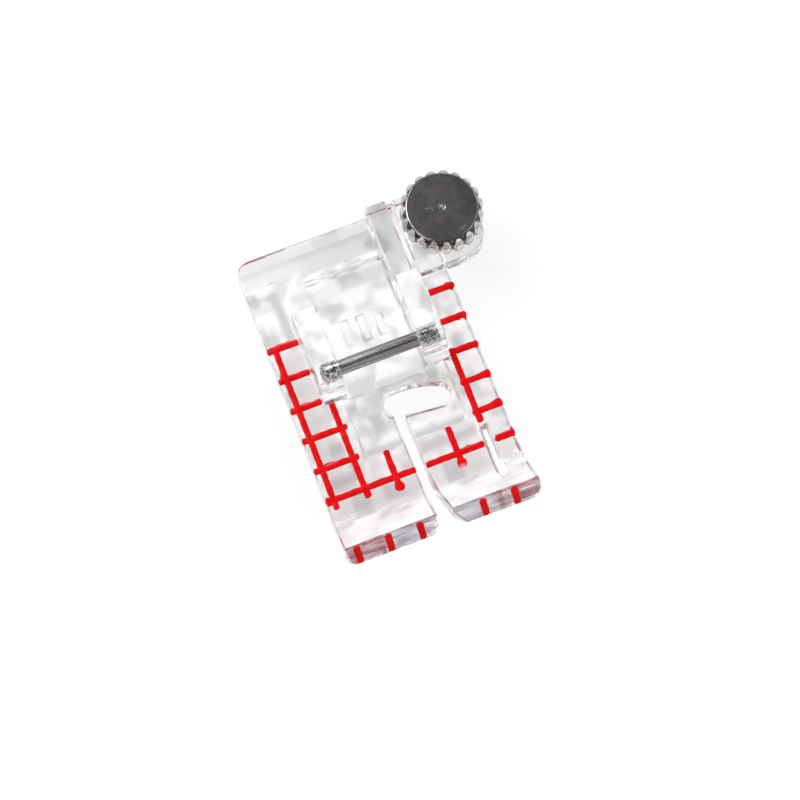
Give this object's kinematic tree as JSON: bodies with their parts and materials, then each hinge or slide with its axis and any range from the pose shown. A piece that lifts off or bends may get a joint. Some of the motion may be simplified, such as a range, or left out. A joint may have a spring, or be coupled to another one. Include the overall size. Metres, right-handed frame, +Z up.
{
  "type": "sewing machine presser foot",
  "caption": "Clear clip-on presser foot with red measuring lines, a crossbar pin and a thumb screw that clamps an edge guide.",
  "frame": {"origin": "the needle's point on the sole plane: where the needle passes the underside of the foot", "axes": "+X to the sewer's right, +Y away from the sewer to the rear of the foot, +Z up"},
  "size_m": [0.0246, 0.033, 0.008],
  "materials": {
    "clear_plastic": "gloss",
    "red_paint": "gloss",
    "pin_steel": "satin",
    "screw_nickel": "satin",
    "insert_brass": "satin"
  },
  "bodies": {
    "foot": {"foot_body": "clear_plastic", "crossbar_pin": "pin_steel", "threaded_insert": "insert_brass", "left_grid_paint": "red_paint", "right_grid_paint": "red_paint", "toe_mark_paint": "red_paint"},
    "guide_screw": {"thumb_screw": "screw_nickel"}
  },
  "joints": [
    {"name": "guide_screw_turn", "type": "hinge", "parent": "foot", "child": "guide_screw", "pos_m": [0.01005, 0.01565, 0.0044], "axis": [0, 0, 1], "range_deg": [0, 720]}
  ]
}
